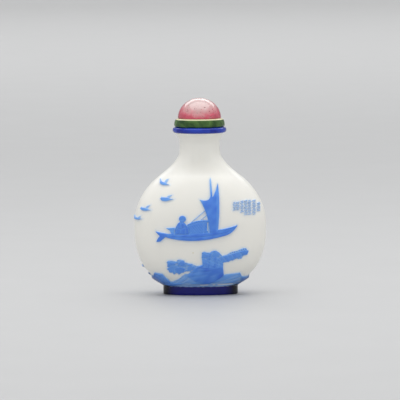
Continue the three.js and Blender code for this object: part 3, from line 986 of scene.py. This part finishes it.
# a link is one node's output, and arithmetic on it adds Math nodes
class Link:
    def __init__(self, shader, socket):
        self.shader, self.socket = shader, socket

    def maths(self, operation, *values):
        inputs = dict(enumerate(values))
        return self.shader.node("ShaderNodeMath", {"operation": operation}, inputs)

    def __add__(self, other):
        return self.maths("ADD", self, other)

    def __radd__(self, other):
        return self.maths("ADD", other, self)

    def __sub__(self, other):
        return self.maths("SUBTRACT", self, other)

    def __rsub__(self, other):
        return self.maths("SUBTRACT", other, self)

    def __mul__(self, other):
        return self.maths("MULTIPLY", self, other)

    def __rmul__(self, other):
        return self.maths("MULTIPLY", other, self)

    def between(self, low, high):
        # 0 at low, 1 at high
        settings = {"interpolation_type": "SMOOTHSTEP"}
        return self.shader.node("ShaderNodeMapRange", settings, {0: self, 1: low, 2: high, 3: 0.0, 4: 1.0})


class Shader:
    def __init__(self, name):
        self.material = bpy.data.materials.new(name)
        self.material.use_nodes = True
        self.tree = self.material.node_tree
        self.surface = self.tree.nodes["Principled BSDF"]

    def node(self, kind, settings, inputs, output=0):
        made = self.tree.nodes.new(kind)
        for key, value in settings.items():
            if key == "stops":
                self.setStops(made.color_ramp, value)
            else:
                setattr(made, key, value)
        for key, value in inputs.items():
            self.feed(made.inputs[key], value)
        return Link(self, made.outputs[output])

    def feed(self, socket, value):
        if isinstance(value, Link):
            self.tree.links.new(value.socket, socket)
        else:
            socket.default_value = value

    def setStops(self, ramp, stops):
        while len(ramp.elements) < len(stops):
            ramp.elements.new(0.5)
        for element, (position, colour) in zip(ramp.elements, stops):
            element.position, element.color = position, colour

    def ramp(self, factor, colours, stops):
        named = [(position, colours[tone]) for tone, position in stops.items()]
        return self.node("ShaderNodeValToRGB", {"stops": named}, {0: factor}, "Color")

    def attribute(self, name):
        return self.node("ShaderNodeAttribute", {"attribute_name": name}, {}, "Fac")

    def place(self):
        return self.node("ShaderNodeTexCoord", {}, {}, "Object")

    def along(self, axis):
        return self.node("ShaderNodeSeparateXYZ", {}, {0: self.place()}, axis)

    def distanceTo(self, point):
        inputs = {0: self.place(), 1: point}
        return self.node("ShaderNodeVectorMath", {"operation": "DISTANCE"}, inputs, "Value")

    def noise(self, scale, detail=3.0, roughness=0.5, distortion=0.0):
        inputs = {"Vector": self.place(), "Scale": scale, "Detail": detail}
        inputs.update({"Roughness": roughness, "Distortion": distortion})
        return self.node("ShaderNodeTexNoise", {}, inputs, "Fac")

    def mixed(self, first, second, factor):
        inputs = {0: factor, 6: first, 7: second}
        return self.node("ShaderNodeMix", {"data_type": "RGBA"}, inputs, 2)

    def bump(self, height, strength, distance):
        inputs = {"Strength": strength, "Distance": distance, "Height": height}
        return self.node("ShaderNodeBump", {}, inputs, "Normal")

    def finish(self, **sockets):
        for name, value in sockets.items():
            self.feed(self.surface.inputs[socketNames.get(name, name)], value)
        return self.material


socketNames = {
    "colour": "Base Color", "roughness": "Roughness", "normal": "Normal", "coat": "Coat Weight",
    "coatRoughness": "Coat Roughness", "ior": "IOR", "transmission": "Transmission Weight",
    "subsurface": "Subsurface Weight", "subsurfaceRadius": "Subsurface Radius",
    "subsurfaceScale": "Subsurface Scale", "specular": "Specular IOR Level", "alpha": "Alpha",
}


def rgb(red, green, blue):
    # a colour as it looks on a screen, 0 to 255
    def linear(value):
        value /= 255
        return value / 12.92 if value <= 0.04045 else ((value + 0.055) / 1.055) ** 2.4

    return (linear(red), linear(green), linear(blue), 1.0)


glass = {
    "white": rgb(237, 235, 228), "cloud": rgb(232, 230, 223), "bounceBlue": rgb(196, 211, 232),
    "pale": rgb(182, 202, 230), "thin": rgb(148, 186, 232), "middle": rgb(106, 160, 230),
    "thick": rgb(80, 136, 221), "deep": rgb(60, 110, 212),
    "speck": rgb(206, 194, 150), "speckAt": (-0.0026, -0.0132, 0.0157), "speckSize": 0.0004,  # in metres
    "navy": rgb(26, 28, 112), "night": rgb(8, 8, 24),
    "lipBlue": rgb(20, 34, 136), "lipBright": rgb(38, 64, 172),
}


def footColour(shader):
    # nearly black toward the oval's two ends, painted shade where they turn to the dark sides of the room,
    # and violet-blue along its front and back
    across = shader.along("X")
    # painted shade: the oval's left and right ends are darkened to near black
    ends = (across * across).between(0.00006, 0.00015)
    swirl = shader.noise(220.0, 4.0, 0.6, 0.8).between(0.2, 0.9)
    return shader.mixed(shader.mixed(glass["navy"], glass["night"], swirl * 0.4), glass["night"], ends)


def overlayGlass():
    shader = Shader("milk_and_blue_glass")
    cover = shader.attribute("cover")
    white = shader.mixed(glass["white"], glass["cloud"], shader.noise(70.0, 2.0, 0.5))
    speck = 1.0 - shader.distanceTo(glass["speckAt"]).between(glass["speckSize"] * 0.3, glass["speckSize"])
    white = shader.mixed(white, glass["speck"], speck * 0.7)
    # painted bounce light: the white glass is tinted blue close to the carving
    white = shader.mixed(white, glass["bounceBlue"], shader.attribute("stain") * 0.4)
    streak = (shader.noise(380.0, 3.0, 0.55) - 0.5) * 0.3
    stops = {"pale": 0.06, "thin": 0.24, "middle": 0.5, "thick": 0.78, "deep": 1.0}  # millimetres of blue
    blue = shader.ramp(cover + streak * cover, glass, stops)
    colour = shader.mixed(white, blue, cover.between(0.01, 0.14))
    # the foot's dark glass, and the painted shade at the shore band's two ends
    colour = shader.mixed(colour, footColour(shader), shader.attribute("deep"))
    return shader.finish(
        colour=colour, roughness=0.28, specular=0.45, ior=1.5, subsurface=0.3,
        subsurfaceRadius=(1.0, 0.95, 0.9), subsurfaceScale=0.0014,
    )


def footGlass():
    shader = Shader("dark_foot_glass")
    rough = 0.2 + shader.noise(220.0, 4.0, 0.6) * 0.1
    return shader.finish(colour=footColour(shader), roughness=rough, specular=0.25, ior=1.5)


def lipGlass():
    shader = Shader("blue_lip_glass")
    swirl = shader.noise(260.0, 3.0, 0.6, 0.5)
    colour = shader.mixed(glass["lipBlue"], glass["lipBright"], swirl.between(0.3, 0.7))
    return shader.finish(colour=colour, roughness=0.14 + swirl * 0.08, specular=0.35, ior=1.5)


bottlePiece.data.materials.append(overlayGlass())
bottlePiece.data.materials.append(footGlass())
bottlePiece.data.materials.append(lipGlass())
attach(bottlePiece, "root")
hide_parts("bottle")
print("bottle finished")


# the stopper's pieces: collar, dome with its flaws, and cork
def meshPiece(name, bm):
    bmesh.ops.recalc_face_normals(bm, faces=bm.faces)
    data = bpy.data.meshes.new(name)
    bm.to_mesh(data)
    bm.free()
    return linked(name, data)


def turned(name, profile, segments):
    # profile: radius and height in millimetres, from the axis back to the axis
    bm = bmesh.new()
    rings = []
    for radius, z in profile:
        if radius > 0:
            rings.append(addRing(bm, (radius, radius, z), segments))
        else:
            rings.append([bm.verts.new((0, 0, z * mm))] * segments)
    for lower, upper in zip(rings, rings[1:]):
        for i in range(segments):
            j = (i + 1) % segments
            corners = dict.fromkeys([lower[i], lower[j], upper[j], upper[i]])  # a pole counts once
            bm.faces.new(list(corners)).smooth = True
    return meshPiece(name, bm)


collar = {
    "seat": 8.4, "widest": 0.75, "top": 8.1, "segments": 128, "green": rgb(32, 64, 26),
    "paleGreen": rgb(78, 112, 54), "cream": rgb(220, 214, 172),
    "paleBandFrom": 0.0004, "paleBandFull": 0.0003,  # metres below the top where its pale cream band starts and is full
}


def buildCollar():
    bottom, top, radius = sizeOf("stopper_collar")
    seat, widest, inner = collar["seat"], collar["widest"], collar["top"]
    profile = [(0.0, bottom), (seat - 0.2, bottom)]
    for a in np.linspace(0.15, math.pi / 2, 9):
        profile.append((seat + (radius - seat) * math.sin(a), bottom + widest * (1 - math.cos(a))))
    profile += [(radius - 0.08, bottom + 1.4), (radius - 0.2, bottom + 1.9), (inner + 0.6, top - 0.6)]
    profile += [(inner + 0.5, top - 0.42), (inner + 0.32, top - 0.26), (inner + 0.1, top - 0.2)]
    profile += [(inner - 0.1, top - 0.18), (inner - 0.14, top - 0.04), (inner - 0.24, top), (0.0, top)]
    return turned("collar_glass", profile, collar["segments"])


def greenGlass():
    shader = Shader("green_collar_glass")
    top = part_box("stopper_collar")[1][2]
    swirl = shader.noise(240.0, 4.0, 0.6, 0.7)
    green = shader.mixed(collar["green"], collar["paleGreen"], swirl.between(0.3, 0.7))
    # a pale cream band along the collar's top edge
    paleTopBand = shader.along("Z").between(top - collar["paleBandFrom"], top - collar["paleBandFull"])
    colour = shader.mixed(green, collar["cream"], paleTopBand)
    return shader.finish(colour=colour, roughness=0.18 + swirl * 0.1, specular=0.35, ior=1.5)


collarPiece = buildCollar()
collarPiece.data.materials.append(greenGlass())
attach(collarPiece, "root")
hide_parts("stopper_collar")


stone = {
    "pale": rgb(242, 216, 212), "blush": rgb(238, 200, 197), "pink": rgb(246, 172, 176),
    "rose": rgb(234, 104, 126), "deep": rgb(188, 40, 70), "cloud": rgb(254, 236, 228),
    "vein": rgb(128, 52, 64), "transmission": 0.38, "ior": 1.5, "segments": 128,
    "highlightAt": (0.0, -0.003), "highlightDown": 0.0015,  # the middle of the painted highlight, in metres
    "highlightReach": 0.003, "shadeDeepens": 0.007,  # how far the painted highlight goes, and how much farther the painted shade takes it to full red
    # the large flaws: degrees round the stone, height above its base, and size
    "flaws": [(-124, 2.9, 0.3), (-73, 4.1, 0.32), (-61, 2.8, 0.32), (-48, 3.4, 0.26), (-102, 0.7, 0.28)],
    "flawDepth": 0.12, "flawForm": (1, 0.3, 0.7), "seed": 5, "specks": 90,
    "speckSize": (0.05, 0.14), "flaw": rgb(70, 30, 36), "paleFlaw": rgb(120, 66, 62),
}


def buildDome():
    bottom, top, radius = sizeOf("stopper_dome")
    profile = [(0.0, bottom + 0.02), (radius - 0.5, bottom + 0.02), (radius - 0.12, bottom + 0.1)]
    for a in np.linspace(0.04, math.pi / 2, 40)[:-1]:
        profile.append((radius * math.cos(a), bottom + (top - bottom) * math.sin(a)))
    profile.append((0.0, top))
    return turned("dome_stone", profile, stone["segments"])


def pinkStone():
    shader = Shader("pink_stone")
    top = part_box("stopper_dome")[1][2]
    # painted highlight: pale round a point at the top front, under the overhead light, and painted shade
    # deepening to red toward the edges of the stone's own pink
    fromHighlight = shader.distanceTo((*stone["highlightAt"], top - stone["highlightDown"]))
    cloud = shader.noise(420.0, 5.0, 0.65, 0.8)
    depth = (fromHighlight - stone["highlightReach"]) * (1 / stone["shadeDeepens"]) + (cloud - 0.5) * 0.5
    body = shader.ramp(depth, stone, {"pale": 0.0, "blush": 0.22, "pink": 0.42, "rose": 0.6, "deep": 1.0})
    veins = shader.noise(900.0, 4.0, 0.7, 1.2).between(0.56, 0.7)
    veined = shader.mixed(body, stone["vein"], veins * 0.6)
    colour = shader.mixed(veined, stone["cloud"], cloud.between(0.58, 0.78) * 0.5)
    return shader.finish(
        colour=colour, roughness=0.04, transmission=stone["transmission"], ior=stone["ior"], coat=0.4,
        coatRoughness=0.02,
    )


domePiece = buildDome()
domePiece.data.materials.append(pinkStone())
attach(domePiece, "root")
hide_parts("stopper_dome")


def addGrain(bm, at, sizes):
    # a small eight-sided crystal grain
    ends = [(1, 0, 0), (0, 1, 0), (-1, 0, 0), (0, -1, 0)]
    ring = [bm.verts.new([(at[i] + end[i] * sizes[i]) * mm for i in range(3)]) for end in ends]
    top = bm.verts.new((at[0] * mm, at[1] * mm, (at[2] + sizes[2]) * mm))
    under = bm.verts.new((at[0] * mm, at[1] * mm, (at[2] - sizes[2]) * mm))
    for i in range(4):
        bm.faces.new([ring[i], ring[(i + 1) % 4], top])
        bm.faces.new([ring[(i + 1) % 4], ring[i], under])


def buildFlaws():
    # the dark grains sealed in the stone: five large ones near its face, and a scatter of dust
    base, _, radius = sizeOf("stopper_dome")
    random = np.random.default_rng(stone["seed"])
    bm = bmesh.new()
    for degrees, rise, size in stone["flaws"]:
        reach = math.sqrt((radius - stone["flawDepth"]) ** 2 - rise**2)
        a = math.radians(degrees)
        at = (reach * math.cos(a), reach * math.sin(a), base + rise)
        addGrain(bm, at, [size * part for part in stone["flawForm"]])
    for _ in range(stone["specks"]):
        a, tilt = random.uniform(0, 2 * math.pi), random.uniform(0.08, 1.3)
        out = radius * random.uniform(0.5, 0.95)
        across = out * math.cos(tilt)
        at = (across * math.cos(a), across * math.sin(a), base + out * math.sin(tilt))
        addGrain(bm, at, random.uniform(*stone["speckSize"], 3))
    return meshPiece("stone_flaws", bm)


def flawFinish():
    shader = Shader("stone_flaws")
    colour = shader.mixed(stone["flaw"], stone["paleFlaw"], shader.noise(2000.0, 2.0))
    return shader.finish(colour=colour, roughness=0.6)


flawPiece = buildFlaws()
flawPiece.data.materials.append(flawFinish())
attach(flawPiece, "root")


cork = {
    "taper": 0.27, "ease": 0.45, "segments": 64, "dark": rgb(122, 84, 50), "pale": rgb(190, 146, 100),
}


def buildCork():
    bottom, top, radius = sizeOf("stopper_cork")
    taper, ease = cork["taper"], cork["ease"]
    profile = [(0.0, bottom), (radius - taper - 0.5, bottom), (radius - taper - 0.18, bottom + 0.1)]
    for t in np.linspace(0, 1, 11):
        rise = (top - bottom - ease - 0.05) * t
        profile.append((radius - taper * (1 - t), bottom + ease + rise))
    profile += [(radius - 0.05, top), (0.0, top)]
    return turned("cork_plug", profile, cork["segments"])


def corkFinish():
    shader = Shader("cork")
    grain = shader.noise(900.0, 5.0, 0.7, 0.4)
    pits = shader.node("ShaderNodeTexVoronoi", {}, {"Vector": shader.place(), "Scale": 1400.0}, "Distance")
    colour = shader.mixed(cork["dark"], cork["pale"], (grain + pits * 0.3).between(0.3, 0.8))
    return shader.finish(colour=colour, roughness=0.85, normal=shader.bump(grain - pits, 0.6, 0.0002))


corkPiece = buildCork()
corkPiece.data.materials.append(corkFinish())
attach(corkPiece, "root")
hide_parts("stopper_cork")
print("stopper finished")


# the studio, in metres: floor, lights and camera
studio = {
    "floorHalf": 4.0, "sweepBack": 3.4, "sweepRadius": 0.8, "sweepHeight": 2.6,
    "world": 0.6, "worldColour": (0.96, 0.975, 0.99, 1.0),
    "paper": rgb(180, 180, 180), "palePaper": rgb(184, 184, 184),
    "cameraDistance": 1.6, "cameraRise": 4.2, "cameraRoll": 0.4, "cameraLens": 404.0, "sensor": 36.0,
    "cameraSees": 20.0, "aimZ": 0.0335,
}
onBottle = (0.0, 0.0, 0.03)
# each light's place, what it is aimed at, its size and power, and whether the glass mirrors it
lights = {
    "overhead": ((0.0, -0.06, 0.78), onBottle, (1.1, 0.7), 4.7, True),
    "front": ((0.0, -1.5, 0.5), onBottle, (2.6, 0.8), 6.0, False),
    "left": ((-1.1, -0.1, 0.3), onBottle, (0.5, 0.5), 0.95, False),
    "right": ((1.1, -0.1, 0.3), onBottle, (0.5, 0.5), 0.95, False),
    "rear": ((0.0, 2.3, 1.7), (0.0, 2.6, 0.0), (3.6, 2.4), 49.0, True),
}


def buildFloor():
    half, back, radius = studio["floorHalf"], studio["sweepBack"], studio["sweepRadius"]
    line = [(-half, 0.0), (0.0, 0.0), (back, 0.0)]
    for a in np.linspace(0, math.pi / 2, 13)[1:]:
        line.append((back + radius * math.sin(a), radius * (1 - math.cos(a))))
    line += [(back + radius, studio["sweepHeight"])]
    bm = bmesh.new()
    rows = [[bm.verts.new((x, y, z)) for x in (-half, half)] for y, z in line]
    for lower, upper in zip(rows, rows[1:]):
        bm.faces.new([lower[0], lower[1], upper[1], upper[0]]).smooth = True
    data = bpy.data.meshes.new("studio_floor")
    bm.to_mesh(data)
    bm.free()
    floor = linked("studio_floor", data)
    shader = Shader("studio_paper")
    colour = shader.mixed(studio["paper"], studio["palePaper"], shader.noise(30.0, 3.0))
    floor.data.materials.append(shader.finish(colour=colour, roughness=0.5, specular=0.4))


def areaLight(name, position, target, size, power, mirrored):
    data = bpy.data.lights.new(name, "AREA")
    data.shape, data.size, data.size_y, data.energy = "RECTANGLE", *size, power
    light = linked(name, data)
    light.location = position
    light.rotation_euler = (Vector(target) - Vector(position)).to_track_quat("-Z", "Y").to_euler()
    light.visible_glossy = mirrored


def buildCamera():
    rise = math.radians(studio["cameraRise"])
    aim = Vector((0.0, 0.0, studio["aimZ"]))
    toCamera = Vector((0.0, -math.cos(rise), math.sin(rise)))
    data = bpy.data.cameras.new("camera")
    data.lens, data.sensor_width = studio["cameraLens"], studio["sensor"]
    data.clip_end = studio["cameraSees"]
    camera = linked("camera", data)
    camera.location = aim + toCamera * studio["cameraDistance"]
    turn = (-toCamera).to_track_quat("-Z", "Y").to_matrix()
    camera.rotation_euler = (turn @ Matrix.Rotation(math.radians(-studio["cameraRoll"]), 3, "Z")).to_euler()
    bpy.context.scene.camera = camera


buildFloor()
for name, settings in lights.items():
    areaLight(name, *settings)
world = bpy.data.worlds.new("studio_world")
world.use_nodes = True
background = world.node_tree.nodes["Background"]
background.inputs["Color"].default_value = studio["worldColour"]
background.inputs["Strength"].default_value = studio["world"]
bpy.context.scene.world = world
bpy.context.scene.view_settings.view_transform = "Standard"
buildCamera()
print("studio finished")
